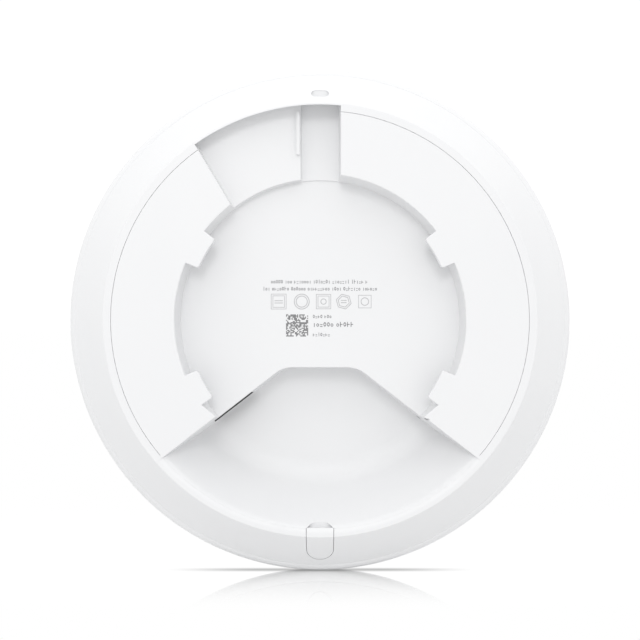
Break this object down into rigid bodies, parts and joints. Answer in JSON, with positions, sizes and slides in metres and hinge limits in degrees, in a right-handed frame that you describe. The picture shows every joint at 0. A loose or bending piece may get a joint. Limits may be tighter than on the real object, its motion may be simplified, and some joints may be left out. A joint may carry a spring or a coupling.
{
  "type": "ceiling access point",
  "caption": "Round white wireless ceiling unit with a shallow dome front, a light ring, a bayonet mounting recess and a cable bay with one angled network socket behind.",
  "frame": {"origin": "centre of the bayonet recess in the rear plane, where the unit meets its ceiling bracket", "axes": "+Y out of the rear plane towards the domed front, +Z towards the release slot in the rim, +X to the right as seen from behind"},
  "size_m": [0.16, 0.033, 0.16],
  "materials": {
    "cover_plastic": "fine satin, white",
    "housing_plastic": "fine satin, white",
    "light_guide": "frosted translucent",
    "reflector_plastic": "white diffusing",
    "led_package": "clear epoxy over phosphor",
    "circuit_board": "solder mask",
    "shield_tin": "tin plate",
    "chip_epoxy": "moulded epoxy",
    "winding_core": "ferrite and tape",
    "can_aluminium": "drawn can",
    "pad_silicone": "soft silicone",
    "plate_aluminium": "stamped sheet",
    "antenna_metal": "stamped, dull",
    "screw_steel": "zinc plated",
    "socket_shell": "nickel plated",
    "socket_plastic": "black glass-filled",
    "contact_metal": "gold plated",
    "button_plastic": "light grey"
  },
  "bodies": {
    "housing": {"rear_rim": "housing_plastic", "rear_housing": "housing_plastic", "front_cover": "cover_plastic", "front_centre_cap": "cover_plastic", "light_ring": "light_guide", "light_ring_reflector": "reflector_plastic", "status_leds": "led_package", "main_board": "circuit_board", "board_screws": "screw_steel", "processor_shield": "shield_tin", "radio_shield_top": "shield_tin", "radio_shield_side": "shield_tin", "processor_chip": "chip_epoxy", "memory_chip": "chip_epoxy", "radio_chip_top": "chip_epoxy", "radio_chip_side": "chip_epoxy", "flash_chip": "chip_epoxy", "network_transformer": "chip_epoxy", "power_inductor": "winding_core", "power_transformer": "winding_core", "bulk_capacitors": "can_aluminium", "thermal_pads": "pad_silicone", "heat_plate": "plate_aluminium", "antenna_low_band_right": "antenna_metal", "antenna_low_band_left": "antenna_metal", "antenna_high_band_right": "antenna_metal", "antenna_high_band_left": "antenna_metal", "port_shell": "socket_shell", "port_insert": "socket_plastic", "reset_switch": "chip_epoxy"},
    "exit_plug": {"cable_exit_plug": "housing_plastic"},
    "reset_button": {"reset_button": "button_plastic"},
    "contacts": {"port_contacts": "contact_metal"}
  },
  "joints": [
    {"name": "reset_press", "type": "slide", "parent": "housing", "child": "reset_button", "axis": [0.6129, 0, 0.7902], "range_m": [0, 0.0004], "stiffness_N_per_m": 400},
    {"name": "cable_exit_pull", "type": "slide", "parent": "housing", "child": "exit_plug", "axis": [0, -1, 0], "range_m": [0, 0.015]},
    {"name": "contact_flex", "type": "hinge", "parent": "housing", "child": "contacts", "pos_m": [-0.02995, 0.0192, -0.02388], "axis": [-0.7902, 0, -0.6129], "range_deg": [0, 9], "stiffness_Nm_per_rad": 0.3}
  ]
}
